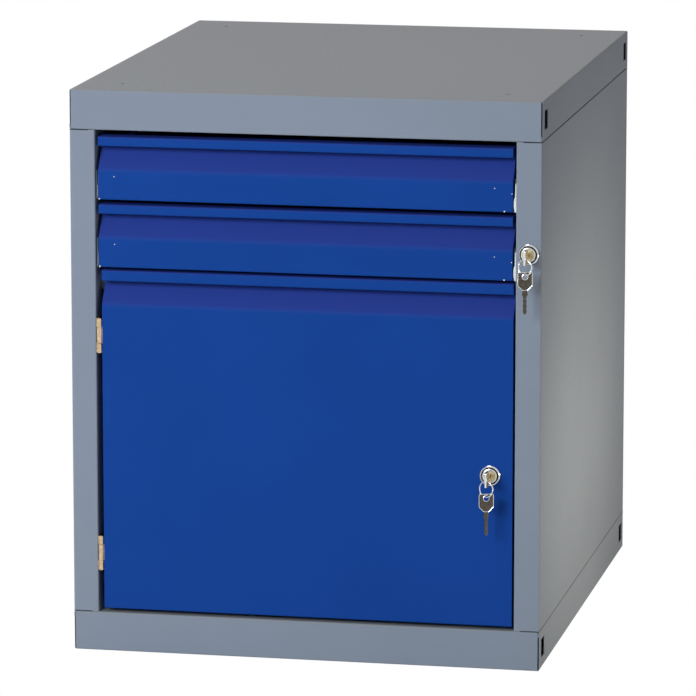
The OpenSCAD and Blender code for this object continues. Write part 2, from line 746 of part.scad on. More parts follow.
// A key in its own plane: Y runs from the blade's tip to the bow, with the shoulder at 0
module key_outline() {
    chamfer = 3.5;
    round_off = 1.2;
    w = bow_w / 2;
    difference() {
        union() {
            translate([0, neck_len]) polygon([[-w + chamfer, 0], [w - chamfer, 0], [w, chamfer],
                [w, bow_h - round_off], [w - round_off, bow_h], [-w + round_off, bow_h],
                [-w, bow_h - round_off], [-w, chamfer]]);
            polygon([[-3.2, 0], [3.2, 0], [3.2, 1.2], [2.4, 2], [2.8, neck_len + 0.1],
                [-2.8, neck_len + 0.1], [-2.4, 2], [-3.2, 1.2]]);
            polygon([[-blade_w / 2, 0.1], [-blade_w / 2, 1.4 - blade_len], [-0.7, -blade_len],
                [0.7, -blade_len], [blade_w / 2, 1.4 - blade_len], [blade_w / 2, 0.1]]);
        }
        translate([0, neck_len + bow_h - hole_in]) circle(d = bow_hole_d);
    }
}
module key() { color(nickel) translate([0, 0, -key_t / 2]) linear_extrude(key_t) key_outline(); }

// Key in a lock, its bow upright and edge-on to the front
module inserted_key(at) { translate([at[0], front_y - plug_proud, at[1]]) rotate([180, -90, 0]) key(); }

// Where the ring passes through the bow of that key
function ring_top(at) = [at[0], front_y - key_reach + hole_in, at[1] - ring_drop];

module key_ring(at) {
    color(nickel) translate(ring_top(at) - [0, 0, ring_r]) rotate([90, 0, ring_twist])
        rotate_extrude() translate([ring_r, 0]) circle(d = wire_d);
}
module spare_key(at) {
    translate(ring_top(at) - [0, 0, 2 * ring_r + hang]) rotate([90, 0, key_twist])
        translate([0, hole_in - bow_h - neck_len, 0]) key();
}
module door_key() { inserted_key(door_lock_at); }
module door_key_ring() { key_ring(door_lock_at); }
module door_spare_key() { spare_key(door_lock_at); }
module drawer_key() { inserted_key(drawer_lock_at); }
module drawer_key_ring() { key_ring(drawer_lock_at); }
module drawer_spare_key() { spare_key(drawer_lock_at); }

top_pan();
bottom_pan();
left_side_panel();
right_side_panel();
back_panel();
divider_panel();
shelf();
shelf_clips();
drawer_1_cabinet_runners();
drawer_2_cabinet_runners();
runner_screws();
front_roller_axles();
hinge_post_leaves();
hinge_pins();
door_buffers();
drawer_lock_body();
drawer_lock_nut();
lock_bar();
drawer_1_front();
drawer_1_box();
drawer_1_slides();
drawer_1_catch();
drawer_1_rear_axles();
drawer_2_front();
drawer_2_box();
drawer_2_slides();
drawer_2_catch();
drawer_2_rear_axles();
drawer_1_front_rollers();
drawer_2_front_rollers();
drawer_1_rear_rollers();
drawer_2_rear_rollers();
door_skin();
door_stiffener();
hinge_door_leaves();
door_lock_body();
door_lock_nut();
door_lock_plug();
door_lock_cam();
door_cam_screw();
door_key();
door_key_ring();
door_spare_key();
drawer_lock_plug();
drawer_lock_cam();
drawer_cam_screw();
drawer_key();
drawer_key_ring();
drawer_spare_key();
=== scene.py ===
# %% [markdown]
# # An under-bench steel cabinet
# Two drawers run on rollers above a cupboard with one hinged door. Everything with a real size comes
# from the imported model: the folded sheets, the runners, the hinges and the locks. This script gives
# those pieces their finishes, and adds what is too fine for the model: the keys' coined bows and wavy
# blades, the split rings, the rims of the lock plugs, pips, the runners' noses, small beads of weld,
# corner plates, and what fills the joints.

# %% Load the model
import bpy
import bmesh
import json
import math
from mathutils import Matrix, Vector


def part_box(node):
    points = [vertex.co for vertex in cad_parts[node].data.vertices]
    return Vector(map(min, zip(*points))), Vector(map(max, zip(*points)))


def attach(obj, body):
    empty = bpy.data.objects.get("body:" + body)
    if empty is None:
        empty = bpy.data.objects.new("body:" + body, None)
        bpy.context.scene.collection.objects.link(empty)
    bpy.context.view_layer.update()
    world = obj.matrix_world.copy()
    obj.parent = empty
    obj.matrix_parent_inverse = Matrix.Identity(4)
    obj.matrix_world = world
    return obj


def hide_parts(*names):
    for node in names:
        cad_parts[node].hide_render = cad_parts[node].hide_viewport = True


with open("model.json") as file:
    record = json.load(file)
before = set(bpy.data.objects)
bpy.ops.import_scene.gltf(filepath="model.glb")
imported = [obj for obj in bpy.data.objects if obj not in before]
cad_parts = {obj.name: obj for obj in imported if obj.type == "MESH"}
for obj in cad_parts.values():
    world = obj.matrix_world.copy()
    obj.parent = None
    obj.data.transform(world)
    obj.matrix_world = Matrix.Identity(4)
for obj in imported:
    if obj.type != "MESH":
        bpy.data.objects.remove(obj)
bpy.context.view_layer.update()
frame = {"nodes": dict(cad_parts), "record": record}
nodes = frame["nodes"]
scene = bpy.context.scene

# %% [markdown]
# ## Measures
# Millimetres suit sheet metal, and Blender works in metres, so one short name does the conversion.
# The places that the scene needs are read from the model's own boxes, and so follow the model.

# %% Places
MM = 0.001


def middle(node):
    """The middle of a node's box."""
    low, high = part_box(node)
    return (low + high) / 2


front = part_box("bottom_pan")[0].y
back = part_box("bottom_pan")[1].y
half_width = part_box("top_pan")[1].x
print("front", round(front, 4), "back", round(back, 4), "half width", round(half_width, 4))

# %% [markdown]
# ## Camera
# The photograph was taken from far away with a long lens, a little from the right and from above.
# A long lens keeps the cabinet's far edges nearly as large as its near ones. The camera is placed by
# the cabinet's corners in the photograph, and has no shift, so that other views stay centred too.

# %% Camera
# The camera's place in metres, from the middle of the cabinet's front at the floor.
camera_right, camera_ahead, camera_up = 1.087, 5.169, 1.328
# How far it looks down, and how far it is turned to the left, in degrees.
tilt_down, turn_left = 10.65, 11.38

camera_data = bpy.data.cameras.new("camera")
camera_data.lens = 266.7
camera_data.sensor_width = 36
camera_data.clip_end = 50
camera = bpy.data.objects.new("camera", camera_data)
scene.collection.objects.link(camera)
camera.location = (camera_right, front - camera_ahead, camera_up)
camera.rotation_euler = (math.radians(90 - tilt_down), 0, math.radians(turn_left))
scene.camera = camera
print("camera at", [round(v, 3) for v in camera.location])

# %% [markdown]
# ## Nodes for materials
# Colours are written as hex values, as a paint chart gives them. Blender's shaders want linear light,
# so one function converts them. A second function adds any node with its settings and links. A third
# starts a material with the object's own coordinates in metres. A pattern's scale is the number of
# its features in a metre, so a fourth works it out from the millimetres between two of them.

# %% Colour and node helpers
def colour(code):
    """A colour such as "9aa4b0" as linear RGBA."""
    parts = [int(code[i:i + 2], 16) / 255 for i in (0, 2, 4)]
    return [p / 12.92 if p <= 0.04045 else ((p + 0.055) / 1.055) ** 2.4 for p in parts] + [1]


def add(tree, kind, inputs=None, **settings):
    """Adds a node. A value in inputs that is a socket becomes a link."""
    node = tree.nodes.new(kind)
    for name, value in settings.items():
        setattr(node, name, value)
    for name, value in (inputs or {}).items():
        if isinstance(value, bpy.types.NodeSocket):
            tree.links.new(value, node.inputs[name])
        else:
            node.inputs[name].default_value = value
    return node


def start_material(name):
    """An empty material, its node tree, and the object's coordinates in metres."""
    material = bpy.data.materials.new(name)
    material.use_nodes = True
    tree = material.node_tree
    tree.nodes.clear()
    return material, tree, add(tree, "ShaderNodeTexCoord").outputs["Object"]


def every(spacing_mm):
    """The scale of a pattern whose features lie this many millimetres apart."""
    return 1000 / spacing_mm


# Nearly all of a noise's values lie between these two, so a map range stretches them from there.
NOISE_SPAN = {"From Min": 0.3, "From Max": 0.7}
# How far a skin's roughness strays to either side of its own.
STRAY = 0.05
print("a mid grey in linear light:", round(colour("808080")[0], 3))

# %% [markdown]
# ## Powder coat
# The carcass and the fronts are powder coated: dry paint is charged, clings to the steel and is baked.
# It melts into a satin skin with a faint orange peel, waves a millimetre or two apart and a few
# microns deep. The pigment is even, with slow clouds a hand's width apart and a fine grain that the
# eye takes for smooth. The waves are drawn a little deeper than life, so that a close view shows them.
# The coat is satin, so it mirrors less at a low angle than its resin alone would: the specular level
# is kept low. Faces that look up are painted a second colour, mixed in by how far the normal points
# up: painted light, standing in for the warm light and its reflection that fall on them from above.
# It takes the blue out of the grey and gives the sloping grips a violet cast.
#
# The runners' white epoxy is a dull skin too, and so are the black of the locks' collar slopes and of
# the corner seams and the dark grey in the joints, which are painted shade and reflection. The same
# function makes them all, with colours, roughness and specular level of their own.

# %% Powder coats and other dull skins
CLOUD_MM, GRAIN_MM, PATCH_MM = 110, 0.8, 5
CLOUD_SHARE, GRAIN_SHARE = 0.6, 0.4
PEEL_MM, PEEL_DEPTH_MM = 1.7, 0.014
# How far the normal points up where the painted light on upward faces starts and where it is full.
UPWARD_PAINTED_LIGHT_SPAN = {"From Min": 0.05, "From Max": 0.6}


def coat(name, base, shade, upward_painted_light, roughness=0.5, specular=0.02):
    """A coat between two colours, with a third painted where it faces up: painted light."""
    material, tree, place = start_material(name)
    normal = add(tree, "ShaderNodeTexCoord").outputs["Normal"]
    direction = add(tree, "ShaderNodeSeparateXYZ", {0: normal})
    upward = add(tree, "ShaderNodeMapRange", {"Value": direction.outputs["Z"], **UPWARD_PAINTED_LIGHT_SPAN})
    clouds = add(tree, "ShaderNodeTexNoise", {"Vector": place, "Scale": every(CLOUD_MM), "Detail": 3})
    grain = add(tree, "ShaderNodeTexNoise", {"Vector": place, "Scale": every(GRAIN_MM), "Detail": 2})
    cloud_part = add(tree, "ShaderNodeMapRange",
                     {"Value": clouds.outputs["Fac"], **NOISE_SPAN, "To Max": CLOUD_SHARE})
    grain_part = add(tree, "ShaderNodeMapRange",
                     {"Value": grain.outputs["Fac"], **NOISE_SPAN, "To Max": GRAIN_SHARE})
    amount = add(tree, "ShaderNodeMath", {0: cloud_part.outputs[0], 1: grain_part.outputs[0]},
                 operation="ADD")
    even = add(tree, "ShaderNodeMix", {0: amount.outputs[0], 6: colour(base), 7: colour(shade)},
               data_type="RGBA")
    tint = add(tree, "ShaderNodeMix", {0: upward.outputs[0], 6: even.outputs[2], 7: colour(upward_painted_light)},
               data_type="RGBA")
    patches = add(tree, "ShaderNodeTexNoise", {"Vector": place, "Scale": every(PATCH_MM), "Detail": 3})
    gloss = add(tree, "ShaderNodeMapRange",
                {"Value": patches.outputs["Fac"], **NOISE_SPAN,
                 "To Min": roughness - STRAY, "To Max": roughness + STRAY})
    peel = add(tree, "ShaderNodeTexNoise", {"Vector": place, "Scale": every(PEEL_MM), "Detail": 2})
    waves = add(tree, "ShaderNodeBump",
                {"Height": peel.outputs["Fac"], "Distance": PEEL_DEPTH_MM * MM, "Strength": 1.0})
    shader = add(tree, "ShaderNodeBsdfPrincipled",
                 {"Base Color": tint.outputs[2], "Roughness": gloss.outputs[0], "IOR": 1.5,
                  "Specular IOR Level": specular, "Normal": waves.outputs["Normal"]})
    add(tree, "ShaderNodeOutputMaterial", {"Surface": shader.outputs["BSDF"]})
    print("coat:", name)
    return material


# The third colour of each coat is painted light on the faces that look up.
grey_powder_coat = coat("powder coat, satin grey", "8c94a2", "878f9c", "8c8d8f")
blue_powder_coat = coat("powder coat, satin blue", "194596", "16418e", "2c4090")
white_epoxy = coat("epoxy coat, white", "efefec", "e4e4e0", "e6e6e2", roughness=0.38, specular=0.3)
# Black for the locks' collar slopes and the corner seams: painted reflection and painted shade.
painted_black_shade_and_reflection = coat("black, painted shade and reflection", "151312", "0e0d0d", "131211", roughness=0.6, specular=0.1)
# Dark grey for the joints: painted shade.
joint_painted_shade = coat("dark grey, painted shade", "3c4047", "30343a", "35383c", roughness=0.6, specular=0.1)

# %% [markdown]
# ## Plated steel and brass
# The small pieces are plated. Zinc is dull and slightly cloudy, and chrome is close to a mirror. The
# ring and the rims of the keys are polished nickel. The hinges are brassed steel. A metal takes its
# colour from its reflections, so each one is told apart by tint and roughness. Fine scratches, a
# quarter of a millimetre apart, break the mirror. Its gloss varies over a third of a cloud's width.

# %% Plated metals
SCRATCH_MM = 0.25


def plated(name, tint, shade, roughness, cloud_mm=6.0, scratch_depth_mm=0.004):
    """A metal film, clouded between two tints, with fine scratches."""
    material, tree, place = start_material(name)
    clouds = add(tree, "ShaderNodeTexNoise", {"Vector": place, "Scale": every(cloud_mm), "Detail": 3})
    amount = add(tree, "ShaderNodeMapRange", {"Value": clouds.outputs["Fac"], **NOISE_SPAN})
    film = add(tree, "ShaderNodeMix", {0: amount.outputs[0], 6: colour(tint), 7: colour(shade)},
               data_type="RGBA")
    patches = add(tree, "ShaderNodeTexNoise",
                  {"Vector": place, "Scale": every(cloud_mm / 3), "Detail": 3})
    gloss = add(tree, "ShaderNodeMapRange",
                {"Value": patches.outputs["Fac"], **NOISE_SPAN,
                 "To Min": roughness - STRAY, "To Max": roughness + STRAY})
    scratches = add(tree, "ShaderNodeTexNoise",
                    {"Vector": place, "Scale": every(SCRATCH_MM), "Detail": 3})
    lines = add(tree, "ShaderNodeBump",
                {"Height": scratches.outputs["Fac"], "Distance": scratch_depth_mm * MM, "Strength": 1.0})
    shader = add(tree, "ShaderNodeBsdfPrincipled",
                 {"Base Color": film.outputs[2], "Metallic": 1.0, "Roughness": gloss.outputs[0],
                  "Normal": lines.outputs["Normal"]})
    add(tree, "ShaderNodeOutputMaterial", {"Surface": shader.outputs["BSDF"]})
    print("plated metal:", name)
    return material


zinc_plate = plated("zinc plate, passivated", "b9bcbe", "a7abae", 0.38)
nickel_plate = plated("nickel plate, polished", "e2e2e2", "d2d2d2", 0.2)
chrome_plate = plated("chrome plate, polished", "d6d9dd", "b9bdc2", 0.12, scratch_depth_mm=0.001)
hinge_brass = plated("brass plate, matt", "dcc6a6", "b99b78", 0.27, cloud_mm=3.0)

# %% [markdown]
# ## Metals that look lined
# The bow and the blade of a key are stamped from nickel silver that has gone dull and olive with
# handling, and only the edges are bright. The face of a lock's plug is brass, filed flat, and the
# file leaves slanting lines. The lines are half a millimetre apart in the render, where real ones
# are finer, so that they show. A noise that is stretched along one axis draws them, and a second
# noise, even in all directions, adds the tarnish.

# %% Lined and dark metals
# A line is drawn nine times as long as the lines are apart.
LINE_RATIO = 9
LINE_STRAY, LINE_DEPTH_MM = 0.08, 0.02
TARNISH_MM = 1.6


def filed_metal(name, tint, shade, roughness, line_mm, slant):
    """Metal with lines across it, line_mm apart, slanting by an angle in degrees."""
    material, tree, place = start_material(name)
    turned = add(tree, "ShaderNodeMapping",
                 {"Vector": place, "Rotation": (0, math.radians(slant), 0),
                  "Scale": (every(line_mm), every(line_mm), every(line_mm * LINE_RATIO))})
    lines = add(tree, "ShaderNodeTexNoise", {"Vector": turned.outputs[0], "Scale": 1.0, "Detail": 3})
    tarnish = add(tree, "ShaderNodeTexNoise", {"Vector": place, "Scale": every(TARNISH_MM), "Detail": 3})
    both = add(tree, "ShaderNodeMath", {0: lines.outputs["Fac"], 1: tarnish.outputs["Fac"]},
               operation="ADD")
    amount = add(tree, "ShaderNodeMapRange",
                 {"Value": both.outputs[0], "From Min": 0.75, "From Max": 1.25})
    film = add(tree, "ShaderNodeMix", {0: amount.outputs[0], 6: colour(tint), 7: colour(shade)},
               data_type="RGBA")
    gloss = add(tree, "ShaderNodeMapRange",
                {"Value": lines.outputs["Fac"], **NOISE_SPAN,
                 "To Min": roughness - LINE_STRAY, "To Max": roughness + LINE_STRAY})
    relief = add(tree, "ShaderNodeBump",
                 {"Height": lines.outputs["Fac"], "Distance": LINE_DEPTH_MM * MM, "Strength": 1.0})
    shader = add(tree, "ShaderNodeBsdfPrincipled",
                 {"Base Color": film.outputs[2], "Metallic": 1.0, "Roughness": gloss.outputs[0],
                  "Normal": relief.outputs["Normal"]})
    add(tree, "ShaderNodeOutputMaterial", {"Surface": shader.outputs["BSDF"]})
    print("lined metal:", name)
    return material


plug_brass = filed_metal("brass, filed", "d2c6a0", "a08f6a", 0.4, 0.5, 35)
key_silver = filed_metal("nickel silver, dull", "625c52", "3d3932", 0.42, 0.45, 80)

# %% [markdown]
# ## Plastic and rubber
# The rollers are injection-moulded nylon: white, and slightly soft at the surface because light
# enters it. The buffers are black rubber, which is dull and never fully black. Both have a slow
# change of colour and a fine skin.

# %% Nylon and rubber
nylon, tree, place = start_material("nylon, moulded white")
clouds = add(tree, "ShaderNodeTexNoise", {"Vector": place, "Scale": every(5), "Detail": 3})
tint = add(tree, "ShaderNodeMix",
           {0: clouds.outputs["Fac"], 6: colour("f3f2ee"), 7: colour("e4e3dc")}, data_type="RGBA")
skin = add(tree, "ShaderNodeTexNoise", {"Vector": place, "Scale": every(0.5), "Detail": 2})
relief = add(tree, "ShaderNodeBump",
             {"Height": skin.outputs["Fac"], "Distance": 0.004 * MM, "Strength": 1.0})
shader = add(tree, "ShaderNodeBsdfPrincipled",
             {"Base Color": tint.outputs[2], "Roughness": 0.42, "Subsurface Weight": 0.15,
              "Subsurface Scale": 2 * MM, "Normal": relief.outputs["Normal"]})
add(tree, "ShaderNodeOutputMaterial", {"Surface": shader.outputs["BSDF"]})

rubber, tree, place = start_material("rubber, black")
clouds = add(tree, "ShaderNodeTexNoise", {"Vector": place, "Scale": every(2), "Detail": 3})
tint = add(tree, "ShaderNodeMix",
           {0: clouds.outputs["Fac"], 6: colour("242424"), 7: colour("302f2e")}, data_type="RGBA")
skin = add(tree, "ShaderNodeTexNoise", {"Vector": place, "Scale": every(0.4), "Detail": 2})
relief = add(tree, "ShaderNodeBump",
             {"Height": skin.outputs["Fac"], "Distance": 0.01 * MM, "Strength": 1.0})
shader = add(tree, "ShaderNodeBsdfPrincipled",
             {"Base Color": tint.outputs[2], "Roughness": 0.8, "Normal": relief.outputs["Normal"]})
add(tree, "ShaderNodeOutputMaterial", {"Surface": shader.outputs["BSDF"]})
print("plastics: nylon, rubber")

# %% [markdown]
# ## Finishes on the model's own nodes
# Each node of the model has one material slot, so a finish is a single assignment. The record says
# which slot each node takes its finish from, and the table below answers it with a material.

# %% Dress the nodes
finish_of = {
    "carcass_paint": grey_powder_coat, "front_paint": blue_powder_coat, "runner_paint": white_epoxy,
    "zinc_steel": zinc_plate, "nylon": nylon, "hinge_metal": hinge_brass, "lock_chrome": chrome_plate,
    "plug_brass": plug_brass, "key_nickel": nickel_plate, "buffer_rubber": rubber}
for part in frame["record"]["subparts"]:
    mesh = nodes[part["node"]].data
    mesh.materials.clear()
    mesh.materials.append(finish_of[part["material_slot"]])

# %% [markdown]
# ## Pieces of mesh
# A new piece starts as a bmesh, which the operators shape. One function turns it into an object that
# rides on a body of the model. The mesh is put in its place before that, so the object itself stays at
# the origin, as the model's own nodes do. Three short helpers serve several pieces: one picks the
# vertices, edges or faces out of what an operator made, one spins a turned part, and one draws a
# strip whose width changes along it.

# %% Make a piece
def piece(name, shape, body, materials, place=Matrix.Identity(4)):
    """An object made of a bmesh that is closed, moved to its place, and rides on a body."""
    bmesh.ops.remove_doubles(shape, verts=shape.verts, dist=0.001 * MM)
    bmesh.ops.recalc_face_normals(shape, faces=shape.faces)
    bmesh.ops.transform(shape, matrix=place, verts=shape.verts)
    mesh = bpy.data.meshes.new(name)
    shape.to_mesh(mesh)
    shape.free()
    for material in materials:
        mesh.materials.append(material)
    item = bpy.data.objects.new(name, mesh)
    scene.collection.objects.link(item)
    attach(item, body)
    print("piece:", name, len(mesh.polygons), "faces")
    return item


# Turns a shape whose z axis points up so that it points out of the cabinet's front.
face_on = Matrix.Rotation(math.radians(90), 4, "X")
print("helper for pieces: piece")

# %% Helpers for shapes
VERT, EDGE, FACE = bmesh.types.BMVert, bmesh.types.BMEdge, bmesh.types.BMFace


def only(kind, items):
    """The vertices, edges or faces among what an operator made."""
    return [item for item in items if isinstance(item, kind)]


def spun(shape, profile, steps=48):
    """A profile of (radius, height) pairs in millimetres, spun round the z axis."""
    rim = [shape.verts.new((radius * MM, 0, rise * MM)) for radius, rise in profile]
    edges = [shape.edges.new(pair) for pair in zip(rim, rim[1:])]
    bmesh.ops.spin(shape, geom=rim + edges, axis=(0, 0, 1), cent=(0, 0, 0), angle=math.tau, steps=steps,
                   use_merge=True)
    return shape


def strip(shape, first, stations, along, space=Matrix.Identity(4)):
    """A strip from an edge through stations, each a distance and a width in millimetres."""
    edge = shape.edges.new(first)
    faces = []
    for (was_at, was_wide), (now_at, now_wide) in zip(stations, stations[1:]):
        grown = bmesh.ops.extrude_edge_only(shape, edges=[edge])["geom"]
        ends = only(VERT, grown)
        faces += only(FACE, grown)
        edge = [e for e in only(EDGE, grown) if set(e.verts) == set(ends)][0]
        step = (now_at - was_at) * MM
        bmesh.ops.translate(shape, vec=[step * part for part in along], verts=ends)
        bmesh.ops.scale(shape, vec=(now_wide / was_wide, 1, 1), verts=ends, space=space)
    return faces


print("helpers for shapes: only, spun, strip")

# %% [markdown]
# ## Keys
# A key is stamped from sheet. Its bow has two clipped corners below, a hole for the ring, and a rim
# that the die leaves standing round a sunken face. A narrow neck leads to a collar that stops the key
# in the plug, and the blade below it has wavy cuts on both edges and a shallow groove along its
# middle. The bow could be drawn as a curve, but an outline filled by an operator keeps the hole and
# the rim in one mesh. The outline is a square whose corners are bevelled. The neck and the blade are
# one strip, extruded from station to station and scaled to the width there.

# %% Key sizes
lock_at = {"door": middle("door_lock_plug"), "drawer": middle("drawer_lock_plug")}
plug_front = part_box("door_lock_plug")[0].y
key_low, key_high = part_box("door_key")
blade_len = key_high.y - plug_front
key_reach = plug_front - key_low.y
bow_width = key_high.z - key_low.z
key_thick = key_high.x - key_low.x
neck_len = 5.2 * MM
bow_height = key_reach - neck_len
# How much a cut takes off each lower corner and each upper one.
lower_clip, upper_clip = 5.2 * MM, 1.2 * MM
# How far the middle of the ring's hole lies in from the bow's end, and its radius.
hole_in, hole_radius = 4.6 * MM, 2.9 * MM
print("key: bow", round(bow_width, 4), "x", round(bow_height, 4), "blade", round(blade_len, 4))

# %% Stamp a flat region
def stamped(shape, faces, rim, depth):
    """Gives a flat region its thickness, and sinks both faces inside a rim. What is sunk stays dull."""
    grown = bmesh.ops.extrude_face_region(shape, geom=faces)["geom"]
    bmesh.ops.translate(shape, vec=(0, 0, key_thick), verts=only(VERT, grown))
    upper = only(FACE, grown)
    bmesh.ops.recalc_face_normals(shape, faces=shape.faces)
    for side in (upper, faces):
        bmesh.ops.inset_region(shape, faces=side, thickness=rim, depth=-depth, use_even_offset=True,
                               use_boundary=True)
        for face in side:
            face.material_index = 1


print("a key is stamped from", round(key_thick / MM, 1), "mm sheet")

# %% The bow
def add_bow(shape):
    """A square with bevelled corners and a hole, filled and stamped."""
    outline = bmesh.ops.create_grid(shape, x_segments=1, y_segments=1, size=0.5)["verts"]
    bmesh.ops.scale(shape, vec=(bow_width, bow_height, 1), verts=outline)
    bmesh.ops.translate(shape, vec=(0, neck_len + bow_height / 2, 0), verts=outline)
    # One straight cut clips the lower corners, and three small ones round the upper.
    for below, clip, segments in ((True, lower_clip, 1), (False, upper_clip, 3)):
        corners = [v for v in shape.verts
                   if (v.co.y < neck_len + 0.001 * MM) == below and abs(v.co.x) > bow_width * 0.45]
        bmesh.ops.bevel(shape, geom=corners, offset=clip, affect="VERTICES", segments=segments,
                        profile=0.5, material=-1)
    bmesh.ops.delete(shape, geom=shape.faces[:], context="FACES_ONLY")
    hole = bmesh.ops.create_circle(shape, segments=20, radius=hole_radius)["verts"]
    bmesh.ops.translate(shape, vec=(0, neck_len + bow_height - hole_in, 0), verts=hole)
    filled = bmesh.ops.triangle_fill(shape, edges=shape.edges[:], use_beauty=True, normal=(0, 0, 1))
    stamped(shape, only(FACE, filled["geom"]), rim=0.5 * MM, depth=0.25 * MM)


print("the ring's hole is", round(2 * hole_radius / MM, 1), "mm wide")

# %% The neck and the blade
blade_mm = blade_len / MM
# Each pair is a height above the collar's stop and half the width there, in millimetres.
neck_and_collar = [(5.4, 2.2), (2.8, 2.3), (2.4, 2.9), (0.0, 2.9), (-0.1, 1.9)]
# The cuts are a wave about a half width, drawn through a point in each millimetre of the blade.
half_width_mm, cut_mm, turn_per_mm = 1.7, 0.28, 1.25
cuts = [(-1.0 - step, half_width_mm + cut_mm * math.cos(step * turn_per_mm))
        for step in range(int(blade_mm) - 2)]
tip = [(1.2 - blade_mm, 1.6), (-blade_mm, 0.6)]
blade_stations = neck_and_collar + cuts + tip


def add_blade(shape):
    """The neck, the collar and the wavy blade, as one strip, stamped."""
    high, half = blade_stations[0]
    first = [shape.verts.new((side * half * MM, high * MM, 0)) for side in (-1, 1)]
    faces = strip(shape, first, blade_stations, along=(0, 1, 0))
    stamped(shape, faces, rim=0.6 * MM, depth=0.2 * MM)


print("blade drawn through", len(blade_stations), "stations")

# %% A whole key
def key_shape(bright_rim):
    """A key in its own plane, its bow above y = 0. The bow's rim is bright or as dull as the rest."""
    shape = bmesh.new()
    add_bow(shape)
    add_blade(shape)
    bmesh.ops.translate(shape, vec=(0, 0, -key_thick / 2), verts=shape.verts)
    for face in shape.faces:
        on_blade = face.calc_center_median().y < neck_len
        # The edge's faces have normals with no z in them. All others are the key's flat sides.
        on_flat = abs(face.normal.z) > 0.3
        if on_blade or not bright_rim and on_flat:
            face.material_index = 1
    return shape


print("a key is", round((blade_len + key_reach) / MM, 1), "mm long")

# %% [markdown]
# One key of each pair stands in its lock with the bow upright, so the front sees it edge-on. The
# spare hangs from the ring with its blade down, turned a little as the ring lets it lie. Both are the
# same shape, moved by a matrix into the place of the model's plain key.

# %% Hang the keys
# Turns a key so that its blade points into the cabinet and its width stands upright.
into_lock = Matrix(((0, 0, 1, 0), (0, -1, 0, 0), (1, 0, 0, 0), (0, 0, 0, 1)))
spare_turn = Matrix.Rotation(math.radians(18), 4, "Z")
for lock, lock_centre in lock_at.items():
    place = Matrix.Translation((lock_centre.x, plug_front, lock_centre.z)) @ into_lock
    key = piece(lock + "_stamped_key", key_shape(False), lock + "_lock", [nickel_plate, plug_brass],
                place)
    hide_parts(lock + "_key")
    spare_centre = middle(lock + "_spare_key")
    hole_at = (spare_centre.x, spare_centre.y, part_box(lock + "_spare_key")[1].z - hole_in)
    place = (Matrix.Translation(hole_at) @ spare_turn @ face_on
             @ Matrix.Translation((0, hole_in - bow_height - neck_len, 0)))
    spare = piece(lock + "_stamped_spare_key", key_shape(True), lock + "_spare",
                  [nickel_plate, key_silver], place)
    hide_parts(lock + "_spare_key")

# %% [markdown]
# ## Split rings
# The ring that joins two keys is a spring: two turns of wire that lie against each other, so that a
# key can be threaded round. A torus would miss the second turn. A small circle is spun twice round the
# ring's axis instead, and moves along it by the wire's width in each turn. The wire is thin enough to
# swing in the hole of the key that stands in the lock.

# %% Rings
wire = 0.85 * MM
# The model's plain ring is this thick, so its middle line is this much narrower than its box.
model_wire = 1.2 * MM
turns, steps_per_turn = 2, 60
ring_turn = Matrix.Rotation(math.radians(-25), 4, "Z")
for lock in lock_at:
    low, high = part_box(lock + "_key_ring")
    ring_radius = ((high - low).z - model_wire) / 2
    shape = bmesh.new()
    section = bmesh.ops.create_circle(shape, cap_ends=False, segments=10, radius=wire / 2,
                                      matrix=face_on)["verts"]
    bmesh.ops.translate(shape, vec=(ring_radius, 0, -wire), verts=section)
    bmesh.ops.contextual_create(shape, geom=shape.edges[:])
    ends = bmesh.ops.spin(shape, geom=shape.edges[:], axis=(0, 0, 1), cent=(0, 0, 0),
                          dvec=(0, 0, wire / steps_per_turn), angle=turns * math.tau,
                          steps=turns * steps_per_turn, use_merge=False)["geom_last"]
    bmesh.ops.contextual_create(shape, geom=only(EDGE, ends))
    ring = piece(lock + "_split_ring", shape, lock + "_ring", [nickel_plate],
                 Matrix.Translation(middle(lock + "_key_ring")) @ ring_turn @ face_on)
    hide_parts(lock + "_key_ring")

# %% [markdown]
# ## Lock faces
# The plug ends in a brass face with a bright raised rim. Between the rim and the chrome collar runs a
# groove, and the collar's inner slope mirrors only that groove, so it looks as black. That reflection
# is painted: the slope is a black piece, a painted reflection of the groove's shade. The rim turns with
# the plug, and the slope stays with the door or the post. Both are turned parts, so each is a small
# profile spun round the lock's axis.

# %% Rims and grooves
rim_profile = [(5.9, -0.3), (5.9, 0.02), (6.2, 0.22), (6.9, 0.26), (7.5, 0.02), (7.78, -0.45),
               (7.78, -1.3), (7.3, -1.3), (5.9, -0.3)]
slope_profile = [(7.95, -0.9), (8.3, -0.8), (8.72, -0.4), (9.0, 0.03), (9.35, 0.05), (9.45, -0.02),
                 (9.45, -0.6), (8.72, -1.4), (7.95, -1.4), (7.95, -0.9)]
for lock, carrier in (("door", "door"), ("drawer", "cabinet")):
    centre = lock_at[lock]
    collar_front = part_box(lock + "_lock_body")[0].y
    piece(lock + "_plug_rim", spun(bmesh.new(), rim_profile), lock + "_lock", [nickel_plate],
          Matrix.Translation((centre.x, plug_front, centre.z)) @ face_on)
    # The slope is black: a painted reflection of the shaded groove.
    piece(lock + "_collar_slope", spun(bmesh.new(), slope_profile), carrier, [painted_black_shade_and_reflection],
          Matrix.Translation((centre.x, collar_front, centre.z)) @ face_on)

# %% [markdown]
# ## Pips on the drawer fronts
# Each drawer front is spot welded to its box, and a small bright pip shows near each end where the
# electrode pressed the steel, with a third on the right edge. White nylon pips over the lower fold
# stand where the fronts' lower corners glint: they are painted highlights. A low dome, spun from five
# points, serves for both.

